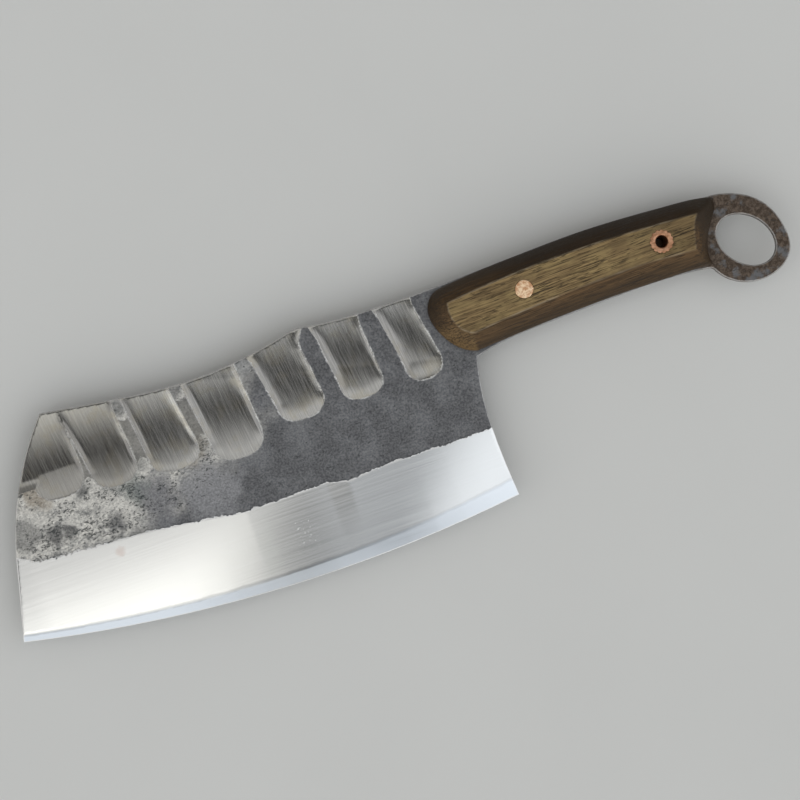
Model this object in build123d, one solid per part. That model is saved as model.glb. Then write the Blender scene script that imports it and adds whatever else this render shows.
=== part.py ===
from build123d import *
import math
import os

# Forged meat cleaver with a full tang, two riveted wooden scales and a hanging ring.
#
# The outlines are drawn in a design frame: X runs along the handle from the blade's toe to the
# ring, through both rivets; Y points from the cutting edge to the spine; Z is across the blade,
# with Z = 0 in the middle of the tang and X = Y = 0 on the front rivet's axis. The whole part is
# then moved so that the origin lies under the middle of its box, on the plane it is laid on.
# All sizes are in millimetres.

# ---- driving dimensions -------------------------------------------------------------------
TANG_THICKNESS = 4.0          # blade stock, tang and ring
HANDLE_THICKNESS = 22.0       # over both scales
SCALE_WALL_TOP = 4.5          # half thickness at which a scale's side wall turns into its bevel

TOE = (-220.1, -63.6)         # front end of the cutting edge
HEEL = (-26.4, -71.9)         # back end of the cutting edge
EDGE_LOW_POINT = (-97.0, -76.5)
SPINE_TIP = (-186.4, 15.6)    # front corner of the spine

EDGE_HALF = 0.12              # half thickness of the cutting edge itself
SHOULDER_HALF = 0.55          # half thickness where the narrow edge bevel begins
SHOULDER_RISE = 4.6           # width of the narrow edge bevel
TAPER_START = (-25.0, -17.5)  # the faces are full thickness from here to the ring
TAPER_ALONG_X = 0.003         # half thickness lost per mm towards the toe
TAPER_ALONG_Y = 0.012         # half thickness lost per mm towards the edge

GRIND_Y = -44.8               # line where the polished bevel meets the forged face
GRIND_CLIMB_START = -118.0    # X from which that line climbs towards the toe
GRIND_CLIMB = 11.5            # how far it has climbed at the toe
GRIND_CLIMB_POWER = 1.6       # how gently the climb begins

SCOOP_DEPTH = 0.65            # ground hollows along the spine
SCOOP_FLAT_SHARE = 0.58       # share of a scoop's width that the wheel grinds flat across
WHEEL_WIDTH_SHARE = 1.3       # the wheel's width as a share of the scoop's

RIVET_D = 7.0                 # solid copper rivet
TUBE_X = 54.0                 # lanyard tube, along X from the front rivet
TUBE_BORE_D = 4.6
TUBE_ROOT_D = 8.1             # between the splines
TUBE_SPLINES = 15
SPLINE_R = 0.8
TUBE_TANG_HOLE_D = 9.4        # clears the splines

RING_HOLE_CENTRE = (85.1, -9.4)
RING_HOLE_LONG = 23.6         # long and short axes of the oval hanging hole
RING_HOLE_SHORT = 17.6
RING_HOLE_TURN = -48.0

half_tang = TANG_THICKNESS / 2
half_handle = HANDLE_THICKNESS / 2
CLEAR = 12.0                  # how far cutting tools reach past the stock
CUTTER_SIDE = 700.0           # side of a cutting block that covers the whole forging
BEVEL_OVERRUN = 2.4           # how high the bevel's plane is carried past the grind line
EDGE_OVERRUN = 0.02           # how far the narrow bevel falls past the cutting edge


# ---- outlines -------------------------------------------------------------------------------
def blade_outline():
    """Blade, full tang and hanging ring as one closed face: they are one forging."""
    front_knee = (-212.3, -32.5)
    hump_front, hump_back = (-88.4, 13.9), (-84.2, 14.2)
    ring_top, ring_root = (75.6, 10.6), (70.3, -16.1)
    notch, heel_top = (69.4, -15.2), (-24.4, -18.1)
    lines = [
        ThreePointArc(HEEL, EDGE_LOW_POINT, TOE),
        Line(TOE, front_knee),
        ThreePointArc(front_knee, (-203.7, -9.8), SPINE_TIP),
        Spline(SPINE_TIP, (-159.4, 11.6), (-129.4, 8.9), (-104.4, 10.7), hump_front),
        Line(hump_front, hump_back),
        Spline(hump_back, (-74.4, 12.8), (-59.4, 11.9), (-39.4, 11.7), (-19.4, 12.2),
               (0.6, 13.0), (20.6, 13.6), (40.0, 13.4), (60.0, 12.2), ring_top),
        Spline(ring_top, (85.5, 8.8), (94.8, 2.8), (99.9, -7.5), (99.2, -19.0),
               (90.6, -24.9), (79.5, -24.3), ring_root),
        Line(ring_root, notch),
        Spline(notch, (60.6, -14.1), (35.0, -13.6), (10.0, -14.4), (-12.0, -15.6), heel_top),
        Spline(heel_top, (-26.4, -28.0), (-27.6, -41.0), (-27.4, -55.0), HEEL),
    ]
    return make_face(lines)


def scale_outlines():
    """A scale's outer outline at the tang and its flat's outline, with matching corners."""
    front_top, back_top = (-30.0, 10.7), (77.3, 9.9)
    back_low, front_low = (70.1, -13.9), (-23.4, -15.9)
    outer = [
        Spline(front_top, (-10.0, 12.5), (5.0, 13.1), (20.6, 13.6), (40.0, 13.3), (60.0, 12.1),
               (71.0, 11.2), back_top),
        Spline(back_top, (77.8, 7.0), (75.0, 1.8), (71.4, -4.4), back_low),
        Spline(back_low, (60.6, -13.7), (35.0, -13.3), (10.0, -13.9), (-12.0, -15.1), front_low),
        Spline(front_low, (-29.2, -12.9), (-35.1, -4.4), (-36.6, 2.8), (-34.9, 7.5), front_top),
    ]
    flat_front_top, flat_back_top = (-28.6, 4.3), (69.6, 5.4)
    flat_back_low, flat_front_low = (65.2, -7.0), (-22.4, -9.3)
    flat = [
        Spline(flat_front_top, (-10.0, 6.1), (20.0, 7.3), (40.0, 7.0), flat_back_top),
        Spline(flat_back_top, (67.9, 2.6), (66.4, -1.8), flat_back_low),
        Spline(flat_back_low, (40.0, -5.7), (20.0, -6.1), (0.0, -7.2), flat_front_low),
        Spline(flat_front_low, (-27.2, -5.6), (-29.0, -0.5), flat_front_top),
    ]
    return make_face(outer), make_face(flat)


# ---- blade ----------------------------------------------------------------------------------
def face_height(x, y):
    """Half thickness of the forged blade above its middle plane, before any grinding."""
    taper = TAPER_ALONG_X * (x - TAPER_START[0]) + TAPER_ALONG_Y * (y - TAPER_START[1])
    return half_tang + min(0.0, taper)


def face_normal(x, y):
    if face_height(x, y) < half_tang:
        return Vector(-TAPER_ALONG_X, -TAPER_ALONG_Y, 1)
    return Vector(0, 0, 1)


def edge_y(x):
    """Height of the cutting edge's arc at x."""
    (x1, y1), (x2, y2), (x3, y3) = TOE, EDGE_LOW_POINT, HEEL
    d = 2 * (x1 * (y2 - y3) + x2 * (y3 - y1) + x3 * (y1 - y2))
    s1, s2, s3 = x1**2 + y1**2, x2**2 + y2**2, x3**2 + y3**2
    cx = (s1 * (y2 - y3) + s2 * (y3 - y1) + s3 * (y1 - y2)) / d
    cy = (s1 * (x3 - x2) + s2 * (x1 - x3) + s3 * (x2 - x1)) / d
    radius = math.hypot(x1 - cx, y1 - cy)
    return cy - math.sqrt(radius**2 - (x - cx) ** 2)


def grind_y(x):
    """Height of the line where the polished bevel meets the forged face: it climbs at the toe."""
    share = max(0.0, (GRIND_CLIMB_START - x) / (GRIND_CLIMB_START - TOE[0]))
    return GRIND_Y + GRIND_CLIMB * share**GRIND_CLIMB_POWER


def taper_cutter():
    """Everything above the near face's plane, which falls away towards the toe and the edge."""
    base = Plane(origin=(TAPER_START[0], TAPER_START[1], half_tang),
                 z_dir=(-TAPER_ALONG_X, -TAPER_ALONG_Y, 1))
    return base * Pos(0, 0, CLEAR / 2) * Box(CUTTER_SIDE, CUTTER_SIDE, CLEAR)


def bevel_cutter():
    """The near side's polished bevel and the narrow edge bevel under it, as one tool."""
    stations = (-232.0, -190.0, -150.0, -110.0, -70.0, -14.0)
    sections = []
    for x in stations:
        edge, grind = edge_y(x), grind_y(x)
        shoulder = edge + SHOULDER_RISE
        slope = (face_height(x, grind) - SHOULDER_HALF) / (grind - shoulder)
        reach = BEVEL_OVERRUN / slope
        outline = [
            (x, edge - reach, EDGE_HALF - EDGE_OVERRUN),
            (x, edge, EDGE_HALF),
            (x, shoulder, SHOULDER_HALF),
            (x, grind + reach, SHOULDER_HALF + slope * (grind + reach - shoulder)),
            (x, grind + reach, CLEAR),
            (x, edge - reach, CLEAR),
        ]
        sections.append(make_face(Polyline(*outline, close=True)))
    return loft(sections, ruled=True)


def scoop_cutter(x, bottom, top, width, tilt):
    """A grinding wheel that leaves one hollow: its axis lies across the hollow's length."""
    half_width, half_length = width / 2, (top - bottom) / 2
    y = (top + bottom) / 2
    wheel_r = half_length**2 / (2 * SCOOP_DEPTH)
    flat = half_width * SCOOP_FLAT_SHARE
    shoulder_r = (half_width - flat) ** 2 / (2 * SCOOP_DEPTH)
    outside = half_width * WHEEL_WIDTH_SHARE
    drop = (outside - flat) ** 2 / (2 * shoulder_r)
    profile = make_face([
        Line((-outside, 0), (-outside, wheel_r - drop)),
        ThreePointArc((-outside, wheel_r - drop),
                      (-(outside + flat) / 2, wheel_r - drop / 4), (-flat, wheel_r)),
        Line((-flat, wheel_r), (flat, wheel_r)),
        ThreePointArc((flat, wheel_r), ((outside + flat) / 2, wheel_r - drop / 4),
                      (outside, wheel_r - drop)),
        Line((outside, wheel_r - drop), (outside, 0)),
        Line((outside, 0), (-outside, 0)),
    ])
    wheel = revolve(profile, Axis.X)
    normal = face_normal(x, y)
    across = Vector(math.cos(math.radians(tilt)), math.sin(math.radians(tilt)), 0)
    seat = Plane(origin=(x, y, face_height(x, y)), x_dir=across, z_dir=normal)
    return seat * Pos(0, 0, wheel_r - SCOOP_DEPTH) * wheel


# centre X, bottom Y, top Y (just past the spine), width, tilt in degrees
SCOOPS = [
    (-187.0, -17.5, 18.0, 18.4, 5),
    (-168.0, -19.6, 15.6, 19.4, 4),
    (-145.3, -21.4, 12.4, 18.8, 5),
    (-120.2, -24.9, 12.0, 21.4, 3),
    (-93.9, -18.9, 16.6, 20.4, 4),
    (-70.2, -18.6, 15.4, 19.2, 4),
    (-46.0, -19.7, 14.4, 17.6, 5),
]


def mirrored(tool):
    return mirror(tool, about=Plane.XY)


def make_blade():
    steel = extrude(blade_outline(), half_tang, both=True)
    hole = Pos(*RING_HOLE_CENTRE, 0) * Rot(0, 0, RING_HOLE_TURN) * extrude(
        Ellipse(RING_HOLE_LONG / 2, RING_HOLE_SHORT / 2), CLEAR, both=True)
    steel -= hole
    tools = [taper_cutter(), bevel_cutter()] + [scoop_cutter(*scoop) for scoop in SCOOPS]
    for tool in tools:
        steel -= tool
        steel -= mirrored(tool)
    steel -= Cylinder(RIVET_D / 2, 2 * CLEAR)
    steel -= Pos(TUBE_X, 0, 0) * Cylinder(TUBE_TANG_HOLE_D / 2, 2 * CLEAR)
    return steel


# ---- handle ---------------------------------------------------------------------------------
def tube_outline():
    """Outside of the lanyard tube: straight splines that bite into the wood."""
    outline = Circle(TUBE_ROOT_D / 2)
    for i in range(TUBE_SPLINES):
        spline = Rot(0, 0, 360 / TUBE_SPLINES * i) * Pos(TUBE_ROOT_D / 2 - SPLINE_R / 2, 0)
        outline += spline * Circle(SPLINE_R)
    return outline


def make_scale():
    """The near scale: a straight wall on the tang, four bevels and a flat."""
    outer, flat = scale_outlines()
    wood = extrude(Pos(0, 0, half_tang) * outer, SCALE_WALL_TOP - half_tang)
    wood += loft([Pos(0, 0, SCALE_WALL_TOP) * outer, Pos(0, 0, half_handle) * flat], ruled=True)
    wood -= Cylinder(RIVET_D / 2, 3 * half_handle)
    wood -= Pos(TUBE_X, 0, 0) * extrude(tube_outline(), 2 * half_handle, both=True)
    return wood


def make_front_rivet():
    return Cylinder(RIVET_D / 2, HANDLE_THICKNESS)


def make_lanyard_tube():
    ring = tube_outline() - Circle(TUBE_BORE_D / 2)
    return Pos(TUBE_X, 0, 0) * extrude(ring, half_handle, both=True)


# ---- export ---------------------------------------------------------------------------------
near_scale = make_scale()
parts = {
    "blade": make_blade(),
    "near_scale": near_scale,
    "far_scale": mirrored(near_scale),
    "front_rivet": make_front_rivet(),
    "lanyard_tube": make_lanyard_tube(),
}

box = Compound(children=[Compound([*shape.solids()]) for shape in parts.values()]).bounding_box()
onto_bench = Pos(-box.center().X, -box.center().Y, -box.min.Z)

os.makedirs("parts", exist_ok=True)
for name, shape in parts.items():
    export_step(onto_bench * shape, f"parts/{name}.step")
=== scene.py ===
import math
from collections import namedtuple

import bmesh
import bpy
import numpy as np
from mathutils import Matrix, Vector, noise
from mathutils.geometry import delaunay_2d_cdt
from mathutils.kdtree import KDTree


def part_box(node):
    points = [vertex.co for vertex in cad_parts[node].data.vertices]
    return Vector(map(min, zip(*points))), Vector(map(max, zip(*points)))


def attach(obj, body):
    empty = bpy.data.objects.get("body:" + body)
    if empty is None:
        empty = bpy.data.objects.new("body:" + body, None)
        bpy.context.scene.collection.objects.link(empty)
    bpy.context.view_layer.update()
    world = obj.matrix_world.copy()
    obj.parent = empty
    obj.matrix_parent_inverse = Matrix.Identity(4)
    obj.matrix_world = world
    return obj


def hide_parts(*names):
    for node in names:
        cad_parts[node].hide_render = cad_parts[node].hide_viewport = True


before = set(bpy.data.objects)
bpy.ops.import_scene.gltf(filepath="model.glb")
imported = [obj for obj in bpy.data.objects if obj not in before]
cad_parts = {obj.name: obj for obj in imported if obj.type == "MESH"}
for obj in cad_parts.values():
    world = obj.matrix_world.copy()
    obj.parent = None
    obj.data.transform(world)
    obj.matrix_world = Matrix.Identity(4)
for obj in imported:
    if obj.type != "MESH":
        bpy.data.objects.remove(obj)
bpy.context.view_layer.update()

# ---- Blade -----------------------------------------------------------------------------------
# One forging of carbon steel: the wide blade, the full tang under the scales and the ring are a
# single plate. The smith draws it out, grinds seven hollows along the spine, grinds and brushes
# the long bevel, and leaves the fire scale on the rest.
MM = 0.001                        # every place and size below is in millimetres
EDGE_HALF = 0.12                  # half thickness at the cutting edge
SHOULDER_HALF = 0.5               # half thickness where the narrow edge bevel begins
SHOULDER_WIDTHS = ((-221, 2.6), (-190, 3.4), (-120, 4.6), (-60, 5.6), (-24, 6.6))
STOCK_HALF = 2.0                  # half thickness of the tang and the ring
TAPER_FROM = (-25.0, -17.5)       # full stock thickness from here to the ring
TAPER = (0.003, 0.012)            # half thickness lost per mm, along and across
BEVELS_END = (-23.0, -19.0)       # the bevels stay on the toe's and the edge's side of this
GRIND_LINE = ((-222, -30.5), (-212.8, -32.3), (-206, -36.3), (-192, -37.5), (-170, -39.1),
              (-155, -40.3), (-140, -42.3), (-125, -44.5), (-104, -44.3), (-93, -43.8),
              (-85, -46.3), (-74, -45.0), (-50, -45.1), (-20, -45.1))
CORNER_R = 0.45                   # the plate's corners are broken to this radius
HAMMER_MARKS = 0.05               # how far the hammered face rises and falls
UNEVEN_OVER = 9.0                 # the hammer marks and the rims change over this distance
SIDE_SEEDS = (0.0, 41.0)          # the two faces are uneven in different ways
MEASURED_TO = -20.0               # the finish is laid out by the bevel from the toe to here
CLEAR_OF_BEVEL = 60.0             # and is told this distance from it past there

# Each hollow has its left and right rims at the spine, the same above its round end, y of that
# place, y of the very end, how far the rims flare at the spine, y of the deepest part, its depth,
# how sharply a second pass broke in, and how squarely the wheel's sides cut. The first is only
# the run-off at the toe.
Hollow = namedtuple("Hollow", "top_left top_right low_left low_right low_y end_y flare deepest "
                              "depth second_pass squareness")
HOLLOWS = (
    Hollow(-215.0, -186.0, -211.5, -187.0, -6.5, -10.6, 0.0, -3.0, 0.74, 0.0, 2.5),
    Hollow(-197.0, -179.4, -197.4, -177.8, -8.5, -17.4, 0.0, -3.0, 0.74, 0.034, 8.0),
    Hollow(-180.0, -160.0, -175.4, -157.8, -12.5, -19.7, 0.6, -3.2, 0.68, 0.008, 9.0),
    Hollow(-156.4, -138.4, -153.3, -133.8, -14.0, -21.4, 0.8, -3.0, 0.70, 0.0, 9.0),
    Hollow(-133.8, -111.8, -129.4, -109.4, -16.5, -25.0, 1.0, -2.6, 0.98, 0.0, 8.0),
    Hollow(-106.3, -86.7, -101.7, -83.3, -11.0, -18.9, 3.0, -1.8, 0.65, 0.0, 5.0),
    Hollow(-79.9, -62.4, -76.8, -60.2, -12.0, -18.7, 0.8, -1.8, 0.65, 0.0, 5.0),
    Hollow(-55.6, -42.0, -51.4, -37.0, -12.5, -19.8, 1.4, -2.5, 0.56, 0.0, 3.2),
)
WHEEL_R = 278.0                   # radius of the wheel that ground the hollows
SECOND_PASS_Y = -6.2              # y where the second pass begins
HOLLOW_TOP = 12.5                 # y at which the rims at the spine are given
FLARE_HEIGHT = 6.0                # the rims flare over this last stretch
ROUNDNESS = 2.5                   # 2 makes a hollow's end an ellipse, and more makes it squarer
RIM_WOBBLE = 0.25                 # how far a rim wanders
OUTSIDE = -30.0                   # distance into a hollow, far from all of them
SKIM = 4.0                        # the wheel also skimmed the lands between the front hollows,
SKIM_X = (-196.5, -130.0)         # between these places along the blade
SKIM_Y = (-14.0, 3.5)             # and across it

rivet_low, rivet_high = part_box("front_rivet")
rivet_axis = (rivet_low + rivet_high) / 2


def placed(x, y, z):
    """A place measured from the rivet's axis: x to the ring, y to the spine, z out of the face."""
    return Vector((x, y, z)) * MM + rivet_axis


def box_mm(node):
    """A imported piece's lowest and highest corners, in millimetres from the rivet's axis."""
    low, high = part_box(node)
    return (low - rivet_axis) / MM, (high - rivet_axis) / MM


def edge_loops(node, kind):
    """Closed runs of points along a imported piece's edges, where faces of two kinds meet."""
    weld, fewest = 0.002 * MM, 8
    mesh = bmesh.new()
    mesh.from_mesh(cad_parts[node].data)
    bmesh.ops.remove_doubles(mesh, verts=mesh.verts, dist=weld)
    bmesh.ops.dissolve_degenerate(mesh, edges=mesh.edges, dist=weld)
    links = {}
    for edge in mesh.edges:
        if len(edge.link_faces) == 2 and kind(edge.link_faces[0]) != kind(edge.link_faces[1]):
            pair = tuple(sorted(kind(face) for face in edge.link_faces))
            for here, there in (edge.verts, reversed(edge.verts)):
                links.setdefault((pair, here), []).append(there)
    loops = []
    while links:
        pair, start = next(iter(links))
        run, here, last = [], start, None
        while (pair, here) in links:
            ahead = [v for v in links.pop((pair, here)) if v != last]
            run.append(here)
            last, here = here, ahead[0] if ahead else None
        if len(run) >= fewest:
            loops.append((pair, np.array([(v.co - rivet_axis) / MM for v in run])[:, :2]))
    mesh.free()
    return sorted(loops, key=lambda loop: -np.ptp(loop[1][:, 0]))


def area(loop):
    """A closed run's area, which is negative where it goes round clockwise."""
    ahead = np.roll(loop, -1, 0)
    return 0.5 * np.sum(loop[:, 0] * ahead[:, 1] - ahead[:, 0] * loop[:, 1])


def even_steps(loop, step, hole=False):
    """The same closed run with even steps and its corners kept. The piece is on its left."""
    shortest, corner_turn = 0.004, math.radians(20)
    ahead = np.roll(loop, -1, 0) - loop
    loop = loop[np.linalg.norm(ahead, axis=1) > shortest]
    if (area(loop) < 0) != hole:
        loop = loop[::-1]
    ahead = np.roll(loop, -1, 0) - loop
    heading = np.unwrap(np.arctan2(ahead[:, 1], ahead[:, 0]))
    turn = np.abs((heading - np.roll(heading, 1) + math.pi) % (2 * math.pi) - math.pi)
    corners = np.nonzero(turn > corner_turn)[0]
    if len(corners) == 0:
        corners = np.array([0])
    run = []
    for i, first in enumerate(corners):
        last = corners[(i + 1) % len(corners)]
        stretch = np.arange(first, last + 1 if last > first else last + 1 + len(loop)) % len(loop)
        points = loop[stretch]
        along = np.concatenate([[0], np.cumsum(np.linalg.norm(np.diff(points, axis=0), axis=1))])
        count = max(1, round(along[-1] / step))
        at = np.linspace(0, along[-1], count + 1)[:-1]
        run.append(np.stack([np.interp(at, along, points[:, k]) for k in (0, 1)], 1))
    return np.concatenate(run)


def inside(points, loop):
    """Whether each point is inside a closed run."""
    x, y = points[:, 0], points[:, 1]
    result = np.zeros(len(points), bool)
    for (x1, y1), (x2, y2) in zip(loop, np.roll(loop, -1, 0)):
        if y1 != y2:
            crosses = (y1 > y) != (y2 > y)
            result ^= crosses & (x < (x2 - x1) * (y - y1) / (y2 - y1) + x1)
    return result


def tree_of(points):
    tree = KDTree(len(points))
    for i, (x, y) in enumerate(points):
        tree.insert((x, y, 0), i)
    tree.balance()
    return tree


def distance(points, loop):
    """How far each point is from a closed run."""
    tree = tree_of(loop)
    nearest = np.array([tree.find((x, y, 0))[1] for x, y in points])
    best = np.full(len(points), np.inf)
    for first, last in ((nearest - 1, nearest), (nearest, (nearest + 1) % len(loop))):
        a, b = loop[first], loop[last]
        run = b - a
        share = np.sum((points - a) * run, 1) / np.maximum(np.sum(run * run, 1), 1e-9)
        share = np.clip(share, 0, 1)
        best = np.minimum(best, np.linalg.norm(points - a - run * share[:, None], axis=1))
    return best


def clear_of(points, others, gap):
    """The points that are further than gap from all the others."""
    tree = tree_of(others)
    return points[np.array([tree.find((x, y, 0))[2] > gap for x, y in points])]


def inset(loop, amount):
    """A closed run moved into the piece."""
    ahead = np.roll(loop, -1, 0) - np.roll(loop, 1, 0)
    ahead /= np.linalg.norm(ahead, axis=1)[:, None]
    return loop + amount * np.stack([-ahead[:, 1], ahead[:, 0]], 1)


def scattered(low, high, step):
    """Points in even, offset rows over a rectangle."""
    rows = np.arange(low[1], high[1], step * 0.866)
    columns = np.arange(low[0], high[0], step)
    return np.array([(x + (step / 2 if i % 2 else 0), y) for i, y in enumerate(rows) for x in columns])


def plate(name, outer, holes, inner, heights, rows=1):
    """A closed piece from a flat outline with holes, rows faces thick.

    heights gives z at its two faces, and named measures of both, which the mesh keeps. The points
    between the faces take the last one.
    """
    loops = [outer] + list(holes)
    coords = np.concatenate(loops + [inner])
    edges, start = [], 0
    for loop in loops:
        edges += [(start + i, start + (i + 1) % len(loop)) for i in range(len(loop))]
        start += len(loop)
    flat, _, faces, origin, _, _ = delaunay_2d_cdt([Vector(p) for p in coords], edges, [], 1, 1e-6)
    flat = np.array(flat)
    place = {old: new for new, olds in enumerate(origin) for old in olds}
    middles = flat[np.array(faces)].mean(1)
    kept = inside(middles, outer)
    for hole in holes:
        kept &= ~inside(middles, hole)
    faces = [face for face, keep in zip(faces, kept) if keep]
    count = len(flat)
    top, bottom, measures = heights(flat)
    vertices = [(x, y, z) for (x, y), z in zip(flat, top)]
    vertices += [(x, y, z) for (x, y), z in zip(flat, bottom)]
    shell = list(faces) + [tuple(count + i for i in reversed(face)) for face in faces]
    ring = {}
    for i in sorted({place[i] for edge in edges for i in edge}):
        ring[i] = [i]
        for row in range(1, rows):
            share = row / rows
            ring[i].append(len(vertices))
            vertices.append((*flat[i], top[i] * (1 - share) + bottom[i] * share))
        ring[i].append(count + i)
    for a, b in edges:
        left, right = ring[place[b]], ring[place[a]]
        shell += [(left[row], right[row], right[row + 1], left[row + 1]) for row in range(rows)]
    mesh = bpy.data.meshes.new(name)
    mesh.from_pydata([placed(*vertex) for vertex in vertices], [], shell)
    for key, values in measures.items():
        values = np.pad(values, (0, len(vertices) - len(values)), "edge").astype(np.float32)
        mesh.attributes.new(key, "FLOAT", "POINT").data.foreach_set("value", values)
    mesh.shade_smooth()
    return mesh


def set_down(name, mesh, material):
    """Puts a finished piece in the scene."""
    piece = bpy.data.objects.new(name, mesh)
    bpy.context.scene.collection.objects.link(piece)
    mesh.materials.append(material)
    return piece


def steel_kind(face):
    return "top" if face.normal.z > 0.2 else "under" if face.normal.z < -0.2 else "wall"


def curve(points, at):
    xs, ys = zip(*points)
    return np.interp(at, xs, ys)


def forged_height(x, y):
    """Half thickness of the plate as it leaves the hammer."""
    taper = TAPER[0] * (x - TAPER_FROM[0]) + TAPER[1] * (y - TAPER_FROM[1])
    return STOCK_HALF + np.minimum(0, taper)


def hollow_sides(y, hollow):
    """Where a hollow's left and right rims are at y, and how far each flares out there."""
    share = np.maximum(0, (y - hollow.low_y) / (HOLLOW_TOP - hollow.low_y))
    left = hollow.low_left + (hollow.top_left - hollow.low_left) * share
    right = hollow.low_right + (hollow.top_right - hollow.low_right) * share
    flare = hollow.flare * np.clip((y - HOLLOW_TOP + FLARE_HEIGHT) / FLARE_HEIGHT, 0, 2) ** 2
    return left, right, flare


def hollow_reach(x, y, hollow):
    """0 on a hollow's middle line, 1 on its rim and more outside, and half its width."""
    left, right, flare = hollow_sides(y, hollow)
    across = (2 * x - left - right) / (right - left + 2 * flare)
    down = np.maximum(0, (hollow.low_y - y) / (hollow.low_y - hollow.end_y))
    return (np.abs(across) ** ROUNDNESS + down**ROUNDNESS) ** (1 / ROUNDNESS), (right - left) / 2


def wobble(points, amount, seed=0.0):
    """Small irregular shifts of a line or a face, in millimetres."""
    places = points / UNEVEN_OVER
    return amount * np.array([noise.fractal((x, y, seed), 1.0, 2.0, 2) for x, y in places])


def blade_surface(points, side, seed):
    """Height above the middle plane, and the measures that the steel's finish is laid out by."""
    x, y = points[:, 0], points[:, 1]
    edge = np.interp(x, edge_line[:, 0], edge_line[:, 1])
    grind = curve(GRIND_LINE, x)
    shoulder = edge + curve(SHOULDER_WIDTHS, x)
    forged = forged_height(x, y)
    rise = forged_height(x, grind) - SHOULDER_HALF
    bevel = SHOULDER_HALF + rise * (y - shoulder) / (grind - shoulder)
    narrow = EDGE_HALF + (SHOULDER_HALF - EDGE_HALF) * (y - edge) / (shoulder - edge)
    on_blade = (x < BEVELS_END[0]) & (y < BEVELS_END[1])
    height = np.where(on_blade, np.minimum(forged, np.minimum(bevel, narrow)), forged)
    in_hollow, ground_off = np.full(len(x), OUTSIDE), np.zeros(len(x))
    unsteady = wobble(points, RIM_WOBBLE, seed)
    for hollow in HOLLOWS:
        reach, half = hollow_reach(x + unsteady, y - unsteady, hollow)
        cut = hollow.depth - (y - hollow.deepest) ** 2 / (2 * WHEEL_R)
        cut = cut - hollow.second_pass * np.maximum(0, SECOND_PASS_Y - y)
        ground_off = np.maximum(ground_off, cut * np.clip(1 - reach**hollow.squareness, 0, 1))
        in_hollow = np.maximum(in_hollow, (1 - reach) * half)
    above_grind = y - grind
    hammered = np.clip(above_grind / 4, 0, 1) * np.clip(side / 2, 0.15, 1) * (in_hollow < 0)
    height = height - ground_off + wobble(points, HAMMER_MARKS, seed) * hammered
    corner = np.minimum(CORNER_R, 0.5 * height)
    near = np.clip(side, 0, corner)
    height = height - (corner - np.sqrt(np.maximum(0, corner**2 - (corner - near) ** 2)))
    skim = SKIM * np.clip((SKIM_X[1] - x) / 3, 0, 1)
    skim = skim * np.clip((SKIM_Y[1] - y) / 2, 0, 1) * np.clip((y - SKIM_Y[0]) / 4, 0, 1)
    return height, {
        "above_grind": np.where(x < MEASURED_TO, above_grind, CLEAR_OF_BEVEL),
        "above_shoulder": np.where(x < MEASURED_TO, y - shoulder, CLEAR_OF_BEVEL),
        "in_hollow": in_hollow,
        "in_ground": in_hollow + np.where(x > SKIM_X[0], skim, 0),
        "from_side": side,
    }


def blade_heights(points):
    side = np.minimum(distance(points, outline), distance(points, ring_hole))
    (top, near), (bottom, far) = (blade_surface(points, side, seed) for seed in SIDE_SEEDS)
    return top, -bottom, {key: np.concatenate([near[key], far[key]]) for key in near}


steel_loops = [loop for pair, loop in edge_loops("blade", steel_kind) if pair == ("top", "wall")]
outline = even_steps(steel_loops[0], 0.7)
ring_hole, tube_hole, rivet_hole = (even_steps(loop, 0.6, hole=True) for loop in steel_loops[1:])
lower = outline[(outline[:, 1] < -55) & (outline[:, 0] < MEASURED_TO)]
lower = lower[np.argsort(lower[:, 0])]
toe, heel = lower[0], lower[-1]
chord = np.interp(lower[:, 0], (toe[0], heel[0]), (toe[1], heel[1]))
edge_line = lower[lower[:, 1] <= chord + 0.4]

# rows of points just inside, on and just outside each hollow's rim, so that its wall is crisp
rims = []
for hollow in HOLLOWS:
    middle = (hollow.low_left + hollow.low_right) / 2
    half_width = (hollow.low_right - hollow.low_left) / 2
    for reach in (0.94, 1.0, 1.05):
        for turn in np.arange(math.pi, 2 * math.pi, 0.035):
            across = math.copysign(abs(math.cos(turn)) ** (2 / ROUNDNESS), math.cos(turn)) * reach
            down = abs(math.sin(turn)) ** (2 / ROUNDNESS) * reach
            y = hollow.low_y - down * (hollow.low_y - hollow.end_y)
            rims.append((middle + across * half_width, y))
        for y in np.arange(hollow.low_y + 0.6, HOLLOW_TOP + 5, 0.6):
            left, right, flare = hollow_sides(y, hollow)
            half = ((right - left) / 2 + flare) * reach
            rims += [((left + right) / 2 - half, y), ((left + right) / 2 + half, y)]
rims = np.array(rims)
shift = wobble(rims, RIM_WOBBLE)
rims = rims - np.stack([shift, -shift], 1)
rims = rims[inside(rims, outline)]
rims = rims[distance(rims, outline) > 0.8]

# the rest of the mesh is fine on the blade and the ring, and coarse under the scales
low, high = box_mm("blade")
bevel_top, handle_start, ring_start = -46, -22, 66
grid = np.concatenate([
    scattered((low.x, bevel_top), (handle_start, high.y), 0.64),
    scattered((low.x, low.y), (handle_start, bevel_top), 0.95),
    scattered((handle_start, low.y), (ring_start, high.y), 2.4),
    scattered((ring_start, low.y), (high.x, high.y), 0.66),
])
grid = grid[inside(grid, outline)]
for hole in (ring_hole, tube_hole, rivet_hole):
    grid = clear_of(grid[~inside(grid, hole)], hole, 0.9)
grid = grid[distance(grid, outline) > 0.8]
grid = clear_of(grid, rims, 0.3)
corner_rows = np.concatenate([inset(loop, amount) for loop in (outline, ring_hole)
                              for amount in (0.1, 0.28, 0.5)])
corner_rows = clear_of(corner_rows[inside(corner_rows, outline)], outline, 0.085)
grid = np.concatenate([corner_rows, clear_of(grid, corner_rows, 0.3), rims])
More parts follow.
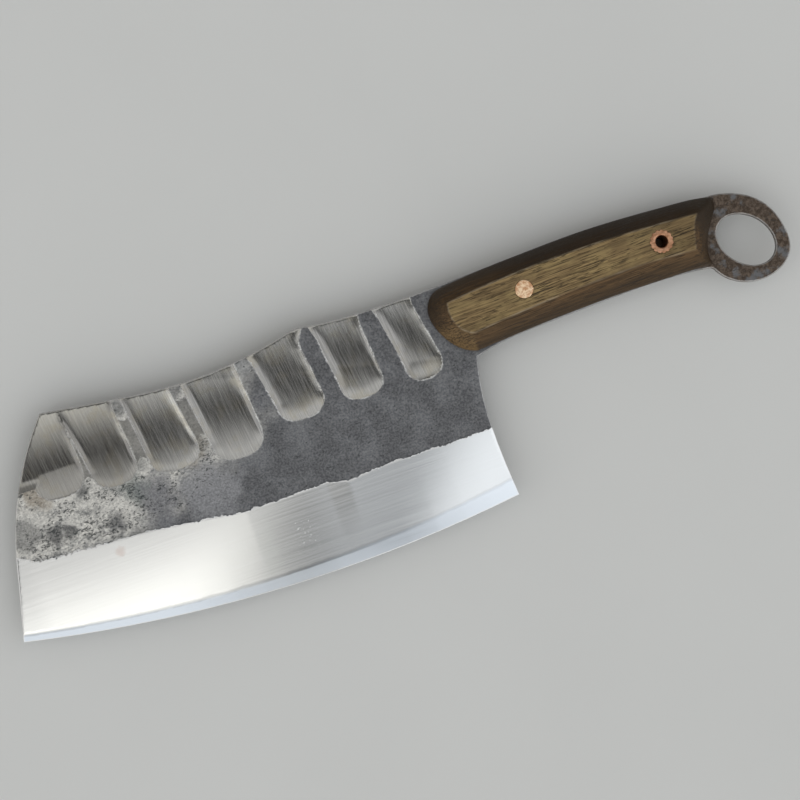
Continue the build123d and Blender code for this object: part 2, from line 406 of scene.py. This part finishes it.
blade_mesh = plate("cleaver_blade", outline, [ring_hole, tube_hole, rivet_hole], grid, blade_heights)


class Finish:
    """A material being put together. Any input takes a number, a colour or another step's socket."""

    def __init__(self, name):
        self.material = bpy.data.materials.new(name)
        self.material.use_nodes = True
        self.tree = self.material.node_tree
        self.shader = self.tree.nodes["Principled BSDF"]
        place = self.step("ShaderNodeTexCoord").outputs["Object"]
        moved = self.step("ShaderNodeVectorMath", {0: place, 1: tuple(rivet_axis)},
                          operation="SUBTRACT").outputs[0]
        self.place = self.step("ShaderNodeVectorMath", {0: moved, "Scale": 1 / MM},
                               operation="SCALE").outputs[0]
        self.x, self.y, _ = self.step("ShaderNodeSeparateXYZ", {0: self.place}).outputs

    def step(self, kind, inputs=None, **settings):
        node = self.tree.nodes.new(kind)
        for key, value in settings.items():
            setattr(node, key, value)
        for key, value in (inputs or {}).items():
            if isinstance(value, bpy.types.NodeSocket):
                self.tree.links.new(value, node.inputs[key])
            else:
                node.inputs[key].default_value = value
        return node

    def maths(self, operation, a, b=0.0):
        return self.step("ShaderNodeMath", {0: a, 1: b}, operation=operation).outputs[0]

    def plus(self, a, b):
        return self.maths("ADD", a, b)

    def minus(self, a, b):
        return self.maths("SUBTRACT", a, b)

    def times(self, a, b):
        return self.maths("MULTIPLY", a, b)

    def measured(self, name):
        return self.step("ShaderNodeAttribute", attribute_name=name).outputs["Fac"]

    def grain(self, size, detail=2.0, rough=0.5, turn=0.0, at=(0, 0, 0), warp=0.0):
        """Noise from 0 to 1 whose features are size millimetres, a number or one for each way."""
        sizes = size if hasattr(size, "__len__") else (size, size, size)
        turned_by = (0, 0, math.radians(turn))
        mapping = self.step("ShaderNodeMapping", {"Vector": self.place, "Location": at,
                                                  "Rotation": turned_by}).outputs[0]
        fitted = self.step("ShaderNodeVectorMath", {0: mapping, 1: tuple(1 / s for s in sizes)},
                           operation="MULTIPLY").outputs[0]
        return self.step("ShaderNodeTexNoise", {"Vector": fitted, "Scale": 1.0, "Detail": detail,
                                                "Roughness": rough, "Distortion": warp}).outputs["Fac"]

    def ease(self, value, low, high, start=0.0, end=1.0):
        """start up to low, end from high, and a smooth change between them."""
        limits = {"Value": value, "From Min": low, "From Max": high, "To Min": start, "To Max": end}
        return self.step("ShaderNodeMapRange", limits, interpolation_type="SMOOTHSTEP").outputs[0]

    def mix(self, share, under, over):
        """Colours: under where share is 0, over where it is 1."""
        under, over = ((*c, 1.0) if isinstance(c, tuple) else c for c in (under, over))
        return self.step("ShaderNodeMix", {"Factor": share, "A": under, "B": over},
                         data_type="RGBA").outputs["Result"]

    def blend(self, share, under, over):
        """Numbers: under where share is 0, over where it is 1."""
        return self.step("ShaderNodeMix", {0: share, 2: under, 3: over}).outputs[0]

    def patch(self, x, y, reach, ragged):
        """1 at a place on the piece, fading to 0 at about reach from it, on both its sides."""
        flat = self.step("ShaderNodeVectorMath", {0: self.place, 1: (1, 1, 0)},
                         operation="MULTIPLY").outputs[0]
        away = self.step("ShaderNodeVectorMath", {0: flat, 1: (x, y, 0)},
                         operation="DISTANCE").outputs["Value"]
        away = self.plus(away, self.times(self.grain(reach * 0.5, 3), ragged))
        return self.ease(away, reach * 0.3 + ragged * 0.5, reach + ragged * 0.5, 1.0, 0.0)

    def finish(self, colour, roughness, metallic, *reliefs):
        """Sets the shader. Each relief is a height from 0 to 1 and its depth in millimetres."""
        self.shader.inputs["Metallic"].default_value = metallic
        for key, value in (("Base Color", colour), ("Roughness", roughness)):
            if isinstance(value, bpy.types.NodeSocket):
                self.tree.links.new(value, self.shader.inputs[key])
            else:
                self.shader.inputs[key].default_value = value
        normal = None
        for height, depth in reliefs:
            inputs = {"Height": height, "Distance": depth * MM, "Strength": 1.0}
            if normal:
                inputs["Normal"] = normal
            normal = self.step("ShaderNodeBump", inputs).outputs[0]
        self.tree.links.new(normal, self.shader.inputs["Normal"])
        return self.material


# spots in the fire scale: x, y, reach, strength and colour
SCALE_SPOTS = (
    (-198, -13, 8, 0.6, (0.34, 0.27, 0.19)), (-196, -30, 5.5, 0.8, (0.08, 0.08, 0.085)),
    (-190, -30, 4, 0.7, (0.08, 0.08, 0.085)), (-172, -33, 5, 0.7, (0.1, 0.1, 0.11)),
    (-154, -29, 13, 0.85, (0.22, 0.22, 0.24)), (-163, -22.5, 8, 0.6, (0.2, 0.23, 0.22)),
    (-136, -34, 17, 0.85, (0.33, 0.33, 0.35)), (-206, -26, 9, 0.6, (0.16, 0.16, 0.16)),
    (-180.5, -17, 4.5, 0.75, (0.13, 0.13, 0.13)), (-137, -18, 6, 0.4, (0.34, 0.28, 0.2)),
    (-158.5, 8, 5, 0.75, (0.22, 0.22, 0.22)), (-137, 7, 5, 0.75, (0.22, 0.22, 0.22)),
    (-157, -14, 5, 0.6, (0.26, 0.26, 0.25)), (-133, -14, 5, 0.7, (0.2, 0.18, 0.15)),
    (-179, 10, 4, 0.7, (0.22, 0.22, 0.22)), (-109, 7, 4, 0.7, (0.5, 0.5, 0.5)),
)


def fire_scale(f, toward_toe, ragged):
    """Blue grey, blotched, paler and pitted towards the toe, and rust brown on the ring."""
    blotches = f.ease(f.grain(10, 4, 0.6), 0.35, 0.68)
    colour = f.mix(blotches, (0.12, 0.121, 0.132), (0.2, 0.203, 0.218))
    blotches = f.plus(f.grain((6, 3.5, 5), 4, 0.75, turn=-8, at=(3, 8, 1)), f.times(ragged, 0.6))
    pale = f.mix(f.ease(blotches, 0.25, 0.62), (0.25, 0.25, 0.25), (0.82, 0.795, 0.755))
    colour = f.mix(toward_toe, colour, pale)
    for x, y, reach, strength, tint in SCALE_SPOTS:
        colour = f.mix(f.times(f.patch(x, y, reach, reach * 1.4), strength), colour, tint)
    fine = f.grain(0.8, 3, 0.65)
    darker = f.mix(0.35, colour, (0.03, 0.03, 0.034))
    lighter = f.mix(0.12, colour, (0.9, 0.9, 0.88))
    colour = f.mix(f.ease(fine, 0.3, 0.75), darker, lighter)

    specks = f.ease(f.grain(1.3, 4, 0.7), 0.38, 0.64)
    rust = f.mix(specks, (0.07, 0.053, 0.042), (0.155, 0.12, 0.096))
    bare = f.ease(f.grain(5, 3, 0.6, at=(2, 7, 0)), 0.5, 0.66, 0, 0.75)
    rust = f.mix(bare, rust, (0.18, 0.187, 0.2))
    colour = f.mix(f.ease(f.x, 62, 68), colour, rust)

    crowd = f.ease(f.grain(7, 3, at=(40, 0, 0)), 0.4, 0.62)
    crowd = f.times(crowd, f.blend(toward_toe, 0.0, 0.09))
    pits = f.plus(f.grain((1.5, 0.9, 1.2), 4, 0.72, at=(5, 2, 9), warp=0.7), crowd)
    pits = f.ease(pits, 0.61, 0.65)
    colour = f.mix(f.times(pits, 0.82), colour, (0.055, 0.06, 0.062))
    relief = f.minus(f.plus(f.times(fine, 0.6), f.grain(3, 3, 0.6)), f.times(pits, 1.2))
    return colour, f.ease(fine, 0.3, 0.7, 0.44, 0.6), relief


def brushed_bevel(f, wave):
    """Fine lines along the edge, a narrow bevel tinted with a painted pale blue reflection, a painted
    dark reflection line above it, a stain and nicks.
    """
    lines = f.grain((60, 0.28, 1), 3, 0.6)
    colour = f.mix(f.ease(lines, 0.3, 0.7), (0.78, 0.78, 0.785), (0.83, 0.83, 0.84))
    stain = f.times(f.patch(-174.5, -43.3, 2.6, 2.5), 0.35)
    colour = f.mix(stain, colour, (0.62, 0.45, 0.4))
    shoulder = f.measured("above_shoulder")
    narrow = f.ease(f.plus(shoulder, f.times(wave, 0.8)), 0.5, -0.4)
    # the narrow bevel is tinted pale blue, a painted reflection
    colour = f.mix(narrow, colour, (0.8, 0.83, 0.88))
    # painted reflection: a dark line along the top of the narrow bevel, stronger towards the toe
    painted_dark_reflection = f.ease(f.maths("ABSOLUTE", f.plus(shoulder, wave)), 1.1, 0.1)
    painted_dark_reflection = f.times(painted_dark_reflection, f.ease(f.x, -60, -130, 0.25, 0.6))
    colour = f.mix(painted_dark_reflection, colour, (0.42, 0.42, 0.43))
    nicks = f.times(f.patch(-107, -59, 8, 4), f.ease(f.grain(0.8, 2, at=(7, 7, 7)), 0.66, 0.7))
    return colour, f.plus(f.ease(lines, 0.3, 0.7, 0.075, 0.1), f.times(nicks, 0.4)), lines


def ground_steel(f, land, scale):
    """Wheel marks along the hollows, patches of painted yellowish reflection tint, and the skimmed
    lands between them.
    """
    wheel = f.grain((0.35, 12, 4), 3, 0.65, turn=-7)
    colour = f.mix(f.ease(wheel, 0.3, 0.7), (0.35, 0.348, 0.344), (0.47, 0.465, 0.456))
    # painted reflection: random patches of a yellowish tint over the wheel marks
    painted_reflection_tint = f.ease(f.grain(7, 3, 0.6, at=(9, 9, 0)), 0.45, 0.68)
    colour = f.mix(f.times(painted_reflection_tint, 0.35), colour, (0.4, 0.36, 0.27))
    colour = f.mix(f.ease(f.x, -135, -170, 0, 0.3), colour, (0.13, 0.112, 0.085))
    skimmed = f.mix(0.7, scale, (0.12, 0.115, 0.108))
    colour = f.mix(f.times(land, 0.85), colour, skimmed)
    bands = f.grain((1.6, 30, 9), 2, 0.5, turn=-7)
    roughness = f.blend(land, f.ease(wheel, 0.3, 0.7, 0.12, 0.165), 0.42)
    return colour, roughness, f.plus(wheel, f.times(bands, 0.7))


def steel_finish():
    """Fire scale, ground hollows and a brushed bevel on one piece of steel, with worn corners."""
    f = Finish("forged_steel")
    ragged = f.minus(f.grain(0.9, 3, 0.7), 0.5)
    wave = f.minus(f.grain(4.5, 3, 0.6), 0.5)
    slant = f.minus(f.x, f.times(f.maths("MINIMUM", f.y, -21.0), 2.6))
    toward_toe = f.ease(f.plus(slant, f.times(f.grain(9, 3), 50)), -18, -62)
    in_hollow = f.measured("in_hollow")
    land = f.ease(in_hollow, 0.2, -0.4)

    tear = f.blend(toward_toe, 0.4, 1.6)
    in_ground = f.plus(f.measured("in_ground"), f.times(ragged, tear))
    in_ground = f.ease(f.plus(in_ground, f.times(wave, tear)), -0.15, 0.15)
    torn = f.times(ragged, f.blend(toward_toe, 1.8, 4.6))
    line = f.plus(f.measured("above_grind"), f.plus(f.times(wave, 2.4), torn))
    on_bevel = f.ease(line, 0.1, -0.1)

    scale, scale_roughness, scale_relief = fire_scale(f, toward_toe, ragged)
    ground, ground_roughness, ground_relief = ground_steel(f, land, scale)
    bevel, bevel_roughness, bevel_relief = brushed_bevel(f, wave)

    fringe = f.times(f.ease(line, 1.0, 0.2), f.ease(f.grain(2.5, 2, at=(6, 6, 6)), 0.4, 0.55))
    scale = f.mix(f.times(fringe, 0.5), scale, (0.05, 0.052, 0.056))
    # painted highlight along the hollows' rims, where a burr catches the light, broken up by noise
    painted_rim_highlight = f.ease(f.maths("ABSOLUTE", f.plus(in_hollow, f.times(ragged, 1.4))), 0.45, 0.0)
    painted_rim_highlight = f.times(painted_rim_highlight, f.ease(f.grain((3, 3.5, 4), 3, 0.7, at=(1, 4, 7)), 0.4, 0.62))
    side = f.measured("from_side")
    worn = f.ease(f.plus(side, f.times(ragged, 0.6)), 0.6, 0.2)
    worn = f.times(worn, f.ease(f.grain(3, 3, at=(2, 2, 2)), 0.3, 0.6, 0.6, 0.9))
    worn = f.times(worn, f.ease(side, 0.0, 0.08, 0.35, 1.0))
    worn = f.times(worn, f.plus(f.ease(f.x, -32, -20, 0.75, 0.35), f.ease(f.x, 64, 70, 0, 0.15)))

    colour = f.mix(in_ground, scale, ground)
    # the painted rim highlight is laid over the colour, stronger towards the handle
    colour = f.mix(f.times(painted_rim_highlight, f.ease(f.x, -130, -100, 0.3, 0.65)), colour, (0.85, 0.85, 0.85))
    colour = f.mix(on_bevel, colour, bevel)
    colour = f.mix(worn, colour, (0.8, 0.79, 0.78))
    roughness = f.blend(in_ground, scale_roughness, ground_roughness)
    roughness = f.blend(painted_rim_highlight, roughness, 0.5)
    roughness = f.blend(on_bevel, roughness, bevel_roughness)
    forged = f.times(f.minus(1.0, on_bevel), f.minus(1.0, in_ground))
    return f.finish(colour, roughness, 1.0,
                    (f.times(scale_relief, forged), 0.04),
                    (f.times(ground_relief, in_ground), 0.0028),
                    (f.times(bevel_relief, on_bevel), 0.0007),
                    (f.ease(line, -0.2, 0.2), 0.03))


blade = set_down("cleaver_blade", blade_mesh, steel_finish())
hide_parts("blade")
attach(blade, "root")

# ---- Wooden scales ---------------------------------------------------------------------------
# Two slabs of dark hardwood glued and riveted to the tang. Each is shaped on the steel: a flat in
# the middle, long bevels above and below, a rounded front facet and a hollowed facet at the ring.
WALL_TOP = 4.5                    # where a scale's straight side turns into its bevel
FLAT_TOP = 10.94                  # the sanded flat, a shade below the copper
BEVEL_SWELL = 0.15                # how far a bevel bulges, as a share of its rise
BEVEL_RUN_ON = 6.0                # how steeply its rise would run on past the flat's edge
FLAT_EDGE = 0.55                  # the flat's edge is rubbed round over this height
SIDE_EDGE = 0.9                   # and the side's edge over this distance,
SIDE_DROP = 0.7                   # with this share of a full rounding
OFF_FLAT = -9.0                   # what the walls and the glued face are measured as


def wood_kind(face):
    flat = min(v.co.z for v in face.verts) > rivet_high.z - 0.01 * MM
    z = face.normal.z
    return "flat" if flat else "bevel" if z > 0.12 else "wall" if z > -0.5 else "under"


def wood_runs(*pair):
    return [loop for kinds, loop in wood_loops if kinds == pair]


def wood_heights(points):
    """z at the shaped face and at the tang, and how far inside the flat's edge a point is."""
    to_side = distance(points, wood_outline)
    to_flat = distance(points, flat_outline) * np.where(inside(points, flat_outline), -1, 1)
    width = np.maximum(to_side + np.maximum(to_flat, 0), 0.01)
    share = np.where(to_flat > 0, to_side / width, 1 - to_flat / BEVEL_RUN_ON)
    swell = BEVEL_SWELL * np.sin(np.clip(share, 0, 1) * math.pi)
    rise = WALL_TOP + (FLAT_TOP - WALL_TOP) * (share + swell)
    gap = np.clip((FLAT_TOP - rise + FLAT_EDGE) / (2 * FLAT_EDGE), 0, 1)
    top = FLAT_TOP * (1 - gap) + rise * gap - FLAT_EDGE * gap * (1 - gap)
    near = np.clip(to_side, 0, SIDE_EDGE)
    rounding = SIDE_EDGE - np.sqrt(np.maximum(0, SIDE_EDGE**2 - (SIDE_EDGE - near) ** 2))
    on_flat = np.concatenate([-to_flat, np.full(len(points), OFF_FLAT)])
    return top - SIDE_DROP * rounding, np.full(len(points), STOCK_HALF), {"on_flat": on_flat}


wood_loops = edge_loops("near_scale", wood_kind)
wood_outline = even_steps(wood_runs("bevel", "wall")[0], 0.8)
flat_outline = even_steps(wood_runs("bevel", "flat")[0], 0.8)
wood_holes = [even_steps(loop, 0.35, hole=True) for loop in wood_runs("flat", "wall")]

low, high = box_mm("near_scale")
grid = scattered((low.x, low.y), (high.x, high.y), 0.85)
grid = grid[inside(grid, wood_outline)]
for hole in wood_holes:
    grid = clear_of(grid[~inside(grid, hole)], hole, 0.5)
edge_rows = np.concatenate([inset(wood_outline, amount) for amount in (0.15, 0.45, 0.9)]
                           + [inset(flat_outline, amount) for amount in (-0.6, -0.2, 0.2, 0.6)])
edge_rows = edge_rows[inside(edge_rows, wood_outline)]
grid = clear_of(grid[distance(grid, wood_outline) > 1.2], edge_rows, 0.45)
grid = np.concatenate([clear_of(edge_rows, wood_outline, 0.12), grid])
near_mesh = plate("wood_scale", wood_outline, wood_holes, grid, wood_heights, rows=3)
far_mesh = near_mesh.copy()
far_mesh.transform(Matrix.Translation(rivet_axis) @ Matrix.Scale(-1, 4, (0, 0, 1))
                   @ Matrix.Translation(-rivet_axis))
far_mesh.flip_normals()


def wood_finish():
    """Oiled dark hardwood: long fibres, open pores, darker growth bands, and a flat paler than the
    bevels, partly worn and partly painted light and shade.
    """
    f = Finish("oiled_hardwood")
    fibres = f.grain((14, 0.42, 0.8), 4, 0.62, turn=-1.5, warp=0.25)
    bands = f.grain((50, 2.4, 4.0), 3, 0.55, turn=-1.5, at=(3, 0, 5))
    cloud = f.grain((9, 4, 6), 3, 0.6, at=(1, 5, 9))
    crowd = f.ease(f.grain((16, 4, 6), 3, 0.6, at=(6, 2, 4)), 0.38, 0.62, -0.07, 0.04)
    pores = f.grain((5, 0.45, 0.5), 2, 0.6, turn=-1.5, at=(0, 4, 2))
    pores = f.ease(f.plus(pores, crowd), 0.56, 0.63)
    deep_pores = f.ease(f.grain((20, 0.6, 1.0), 2, 0.5, turn=-1.5, at=(8, 1, 3)), 0.63, 0.68)
    on_flat = f.measured("on_flat")

    # the bevels are darker than the flat, partly from the hand and partly painted shade, which deepens
    # away from the flat and is heaviest above; they are darker at the ring, and the lower front facet
    # has painted light on its sawn grain
    bevels = f.mix(f.ease(fibres, 0.28, 0.72), (0.052, 0.028, 0.011), (0.155, 0.09, 0.04))
    # darker away from the flat, partly from the hand and partly painted shade
    bevels = f.mix(f.ease(on_flat, -0.5, -6.5, 0, 0.6), bevels, (0.02, 0.013, 0.007))
    # painted shade on the upper bevel, growing from the front towards the ring
    painted_shade_above = f.times(f.ease(f.y, -3, 5), f.ease(f.x, -25, 8, 0.4, 0.82))
    bevels = f.mix(painted_shade_above, bevels, (0.014, 0.008, 0.004))
    bevels = f.mix(f.ease(f.x, 66, 71, 0, 0.6), bevels, (0.03, 0.018, 0.009))
    # painted light on the lower part of the front facet, in a paler colour over the sawn grain
    lit_sawn_colour = f.mix(f.ease(fibres, 0.3, 0.7), (0.13, 0.08, 0.034), (0.26, 0.165, 0.075))
    front = f.times(f.ease(f.x, -22.4, -24.2), f.ease(f.y, -1, -8))
    bevels = f.mix(f.times(front, 0.75), bevels, lit_sawn_colour)

    # the flat is paler, partly rubbed and partly painted light, clouded, and darker towards the ring
    flat = f.mix(f.ease(fibres, 0.28, 0.72), (0.095, 0.059, 0.027), (0.34, 0.235, 0.11))
    clouded = f.mix(0.45, flat, (0.46, 0.34, 0.15))
    flat = f.mix(f.ease(cloud, 0.4, 0.7, 0, 0.8), flat, clouded)
    flat = f.mix(f.ease(f.x, 28, 66, 0, 0.42), flat, (0.1, 0.065, 0.03))
    # the flat's share: the paler flat, partly painted light, against the bevels with their painted
    # shade
    rubbed_and_lit_flat = f.ease(f.plus(on_flat, f.times(f.grain(3, 2), 0.5)), -0.1, 0.6)
    colour = f.mix(rubbed_and_lit_flat, bevels, flat)

    # over both lie the growth bands, a worn ridge round the flat that is partly a painted highlight,
    # and the pores
    banded = f.mix(0.5, colour, (0.03, 0.02, 0.01))
    colour = f.mix(f.ease(bands, 0.42, 0.66, 0, 0.6), colour, banded)
    # a pale ridge round the flat, partly wear and partly a painted highlight, fading near the ring
    worn_ridge_highlight = f.ease(f.maths("ABSOLUTE", f.plus(on_flat, 0.1)), 0.6, 0.0)
    worn_ridge_highlight = f.times(worn_ridge_highlight, f.ease(f.grain((12, 2, 2), 3, at=(5, 5, 5)), 0.35, 0.65, 0.1, 0.6))
    worn_ridge_highlight = f.times(worn_ridge_highlight, f.ease(f.x, 58, 64, 1, 0.35))
    colour = f.mix(worn_ridge_highlight, colour, (0.36, 0.29, 0.2))
    colour = f.mix(f.times(pores, 0.7), colour, (0.03, 0.02, 0.012))
    colour = f.mix(f.times(deep_pores, 0.7), colour, (0.025, 0.018, 0.013))
    relief = f.minus(fibres, f.plus(pores, f.times(deep_pores, 1.5)))
    f.shader.inputs["Specular IOR Level"].default_value = 0.2
    return f.finish(colour, f.ease(fibres, 0.3, 0.7, 0.42, 0.55), 0.0, (relief, 0.07))


hardwood = wood_finish()
for node, mesh in (("near_scale", near_mesh), ("far_scale", far_mesh)):
    scale = set_down("handle_" + node, mesh, hardwood)
    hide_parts(node)
    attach(scale, "root")

# ---- Front rivet -----------------------------------------------------------------------------
# A solid copper rod through scale, tang and scale. Its ends are peened over and then sanded level
# with the wood, which leaves them a shade proud and very slightly domed.
RIVET_R = 3.47
RIVET_DOME = 0.035                # how far an end falls away at its rim
RIVET_CORNER = 0.06               # height of the rounded corner beyond the rim
COPPER_END = 11.0                 # z of a copper end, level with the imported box


def turned(name, x, y, rows, around, radius_at, closed=False):
    """A turned piece from rows of (size, z). radius_at(size, turn) is the radius round a row.

    A closed one is a tube, whose last row joins its first.
    """
    vertices, faces = [], []
    for size, z in rows:
        for i in range(around):
            turn = 2 * math.pi * i / around
            radius = radius_at(size, turn)
            vertices.append(placed(x + radius * math.cos(turn), y + radius * math.sin(turn), z))
    for row in range(len(rows) if closed else len(rows) - 1):
        a, b = row * around, (row + 1) % len(rows) * around
        faces += [(a + i, b + i, b + (i + 1) % around, a + (i + 1) % around) for i in range(around)]
    if not closed:
        last = range(len(vertices) - around, len(vertices))
        faces += [tuple(range(around)), tuple(reversed(last))]
    mesh = bpy.data.meshes.new(name)
    mesh.from_pydata(vertices, [], faces)
    mesh.shade_smooth()
    return mesh


def peened(radius, turn):
    """The hammer leaves the rod's end a little out of round."""
    return radius * (1 - 0.012 * (1 + math.sin(3 * turn + 0.6)) - 0.008 * (1 + math.sin(7 * turn)))


def copper_finish(name, light, dark, shine):
    """Copper, sanded with the wood: fine scratches both ways and a mottled tarnish."""
    f = Finish(name)
    tarnish = f.ease(f.grain(1.3, 3, 0.6), 0.35, 0.65)
    scratches = f.grain((7, 0.09, 1), 2, 0.6, turn=12)
    crossing = f.grain((5, 0.14, 1), 2, 0.6, turn=-38, at=(4, 4, 4))
    colour = f.mix(tarnish, light, dark)
    colour = f.mix(f.ease(scratches, 0.55, 0.75, 0, 0.35), colour, (0.95, 0.8, 0.72))
    return f.finish(colour, f.ease(tarnish, 0, 1, shine, shine + 0.1), 1.0,
                    (f.plus(scratches, f.times(crossing, 0.7)), 0.006),
                    (f.grain(1.8, 2), 0.06))


rim_z = COPPER_END - RIVET_DOME
rivet_end = [(RIVET_R * share, COPPER_END - RIVET_DOME * share**2)
             for share in (0.02, 0.2, 0.4, 0.6, 0.8, 0.93)]
rivet_end += [(RIVET_R - RIVET_CORNER * 0.3, rim_z - RIVET_CORNER * 0.25),
              (RIVET_R, rim_z - RIVET_CORNER)]
rivet_rows = rivet_end + [(radius, -z) for radius, z in reversed(rivet_end)]
rivet_mesh = turned("front_rivet_peened", 0, 0, rivet_rows, 96, peened)
bright_copper = copper_finish("bright_copper", (1.0, 0.76, 0.52), (0.6, 0.33, 0.18), 0.34)
rivet = set_down("front_rivet_peened", rivet_mesh, bright_copper)
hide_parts("front_rivet")
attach(rivet, "root")

# ---- Lanyard tube ----------------------------------------------------------------------------
# A thick copper tube drawn with straight splines that bite into the wood. It is the rear rivet and
# the hole for a wrist cord, sanded level and lightly countersunk.
SPLINES = 15
SPLINE_R = 0.8
SPLINE_CENTRE = 3.65              # distance of a spline's own centre from the tube's axis
ROOT_R = 4.05                     # the outside between the splines
BORE_R = 2.3
TUBE_EASE = 0.02                  # how loosely it fits its hole


def splined(share, turn):
    """The tube's outside where share is 1, and its round bore where it is 0."""
    off = (turn + math.pi / SPLINES) % (2 * math.pi / SPLINES) - math.pi / SPLINES
    reach = SPLINE_R**2 - (SPLINE_CENTRE * math.sin(off)) ** 2
    spline = SPLINE_CENTRE * math.cos(off) + math.sqrt(reach) if reach > 0 else 0
    outside = max(ROOT_R, spline) - TUBE_EASE
    return BORE_R + (outside - BORE_R) * share


tube_low, tube_high = box_mm("lanyard_tube")
tube_middle = (tube_low + tube_high) / 2
# from the bore, over the countersunk end, to the outside: share of the wall and z
tube_end = [(0, 0), (0, 5), (0, COPPER_END - 0.5), (0.03, COPPER_END - 0.3),
            (0.13, COPPER_END - 0.08), (0.3, COPPER_END), (0.6, COPPER_END - 0.005),
            (0.9, COPPER_END - 0.02), (0.97, COPPER_END - 0.05), (1, COPPER_END - 0.12), (1, 5), (1, 0)]
tube_rows = tube_end + [(share, -z) for share, z in reversed(tube_end[1:-1])]
tube_mesh = turned("lanyard_tube_splined", tube_middle.x, tube_middle.y, tube_rows, SPLINES * 16,
                   splined, closed=True)
tube_mesh.flip_normals()
dull_copper = copper_finish("dull_copper", (0.6, 0.33, 0.205), (0.36, 0.18, 0.1), 0.42)
tube = set_down("lanyard_tube_splined", tube_mesh, dull_copper)
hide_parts("lanyard_tube")
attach(tube, "root")

# ---- Bench and studio ------------------------------------------------------------------------
# A pale matt bench, a camera looking straight down at it, and a soft dome of light: brightest on
# the near side, with a short dark slot nearly overhead that the flat steel mirrors.
BENCH_HALF = 4000.0
CAMERA_HEIGHT = 1100.0
CAMERA_OVER = (-57.05, -23.84)    # the place that it looks down on
CAMERA_TURN = -19.1               # degrees
FRAME_WIDTH = 300.0               # width of the view at the rivet's middle
DOME_STRENGTH = 1.96              # what the brightness of the dome below is multiplied by

bench_mesh = bpy.data.meshes.new("bench")
bench_side = BENCH_HALF * MM
corners = [(x * bench_side, y * bench_side, 0) for x, y in ((-1, -1), (1, -1), (1, 1), (-1, 1))]
bench_mesh.from_pydata(corners, [], [(0, 1, 2, 3)])
f = Finish("pale_bench")
mottled = f.mix(f.grain(60, 3), (0.66, 0.66, 0.655), (0.69, 0.69, 0.685))
bench = set_down("bench", bench_mesh, f.finish(mottled, 0.75, 0.0, (f.grain(0.8, 3), 0.02)))

camera_data = bpy.data.cameras.new("camera")
camera_data.lens = camera_data.sensor_width * CAMERA_HEIGHT / FRAME_WIDTH
camera_data.clip_end = 50000 * MM
camera = bpy.data.objects.new("camera", camera_data)
camera.location = placed(*CAMERA_OVER, CAMERA_HEIGHT)
camera.rotation_euler = (0, 0, math.radians(CAMERA_TURN))
bpy.context.scene.collection.objects.link(camera)
bpy.context.scene.camera = camera

world = bpy.data.worlds.new("dome")
world.use_nodes = True
dome = world.node_tree
toward = dome.nodes.new("ShaderNodeSeparateXYZ")
dome.links.new(dome.nodes.new("ShaderNodeTexCoord").outputs["Generated"], toward.inputs[0])


def graded(axis, *stops):
    """The dome graded along a direction. A stop is a place from -1 to 1, a brightness and a blue."""
    spread = dome.nodes.new("ShaderNodeMapRange")
    spread.inputs["From Min"].default_value = -1.0
    dome.links.new(toward.outputs[axis], spread.inputs["Value"])
    ramp = dome.nodes.new("ShaderNodeValToRGB")
    stops = [(*stop, 0)[:3] for stop in stops]
    for i, (place, bright, blue) in enumerate(stops):
        at = (place + 1) / 2
        if i < 2:
            ramp.color_ramp.elements[i].position = at
        stop = ramp.color_ramp.elements[i] if i < 2 else ramp.color_ramp.elements.new(at)
        tint = (1 - 0.09 * blue, 1 - 0.05 * blue, 1 - 0.03 * (1 - blue))
        stop.color = (*(bright * part for part in tint), 1)
    dome.links.new(spread.outputs[0], ramp.inputs[0])
    return ramp.outputs[0]


def mixed(kind, share, first, second):
    node = dome.nodes.new("ShaderNodeMix")
    node.data_type, node.blend_type = "RGBA", kind
    for key, value in (("Factor", share), ("A", first), ("B", second)):
        if isinstance(value, bpy.types.NodeSocket):
            dome.links.new(value, node.inputs[key])
        else:
            node.inputs[key].default_value = value
    return node.outputs["Result"]


# from the near side to the far one, with a dark slot across the top that stops at both its ends
depth = graded(1, (-1, 0.7), (-0.5, 0.74), (-0.2, 0.8), (-0.185, 0.66), (-0.165, 0.66), (-0.15, 0.8),
               (-0.085, 0.8), (-0.08, 0.52), (-0.045, 0.44), (-0.03, 0.03), (0.048, 0.03),
               (0.062, 0.26), (0.085, 0.5), (0.12, 0.68), (0.25, 0.58), (0.35, 0.3), (1, 0.2))
at_slot = graded(1, (-0.075, 0.0), (-0.05, 1.0), (0.08, 1.0), (0.1, 0.0))
along_slot = graded(0, (-0.45, 0.0), (-0.36, 1.0), (0.1, 1.0), (0.18, 0.0))
depth = mixed("MIX", at_slot, depth, mixed("MIX", along_slot, (0.5, 0.5, 0.5, 1), depth))

# from the toe to the ring, which the bevel mirrors: bright, dark and bluish, and bright again
across = graded(0, (-0.11, 1.0), (-0.09, 1.0), (-0.078, 0.74), (-0.07, 0.5), (-0.062, 0.32, 0.3),
                (-0.052, 0.1, 0.7), (-0.046, 0.0, 1), (-0.040, 0.2, 1), (-0.034, 0.42, 1),
                (-0.012, 0.22, 1), (0.001, 0.2, 1), (0.006, 0.62, 1), (0.02, 0.76, 1))
low_across = graded(0, (-0.11, 0.6, 1), (-0.07, 0.4, 1), (-0.05, 0.32, 0.5), (-0.03, 0.62, 1),
                    (0.02, 0.76, 1))
across = mixed("MIX", graded(1, (-0.2, 0.0), (-0.19, 1.0)), low_across, across)
near_panel = graded(1, (-0.6, 0.0), (-0.5, 1.0), (-0.085, 1.0), (-0.08, 0.0))
across = mixed("MIX", near_panel, (0.72, 0.72, 0.72, 1), across)

background = dome.nodes["Background"]
dome.links.new(mixed("MULTIPLY", 1.0, depth, across), background.inputs["Color"])
background.inputs["Strength"].default_value = DOME_STRENGTH
bpy.context.scene.world = world
bpy.context.scene.view_settings.view_transform = "Standard"
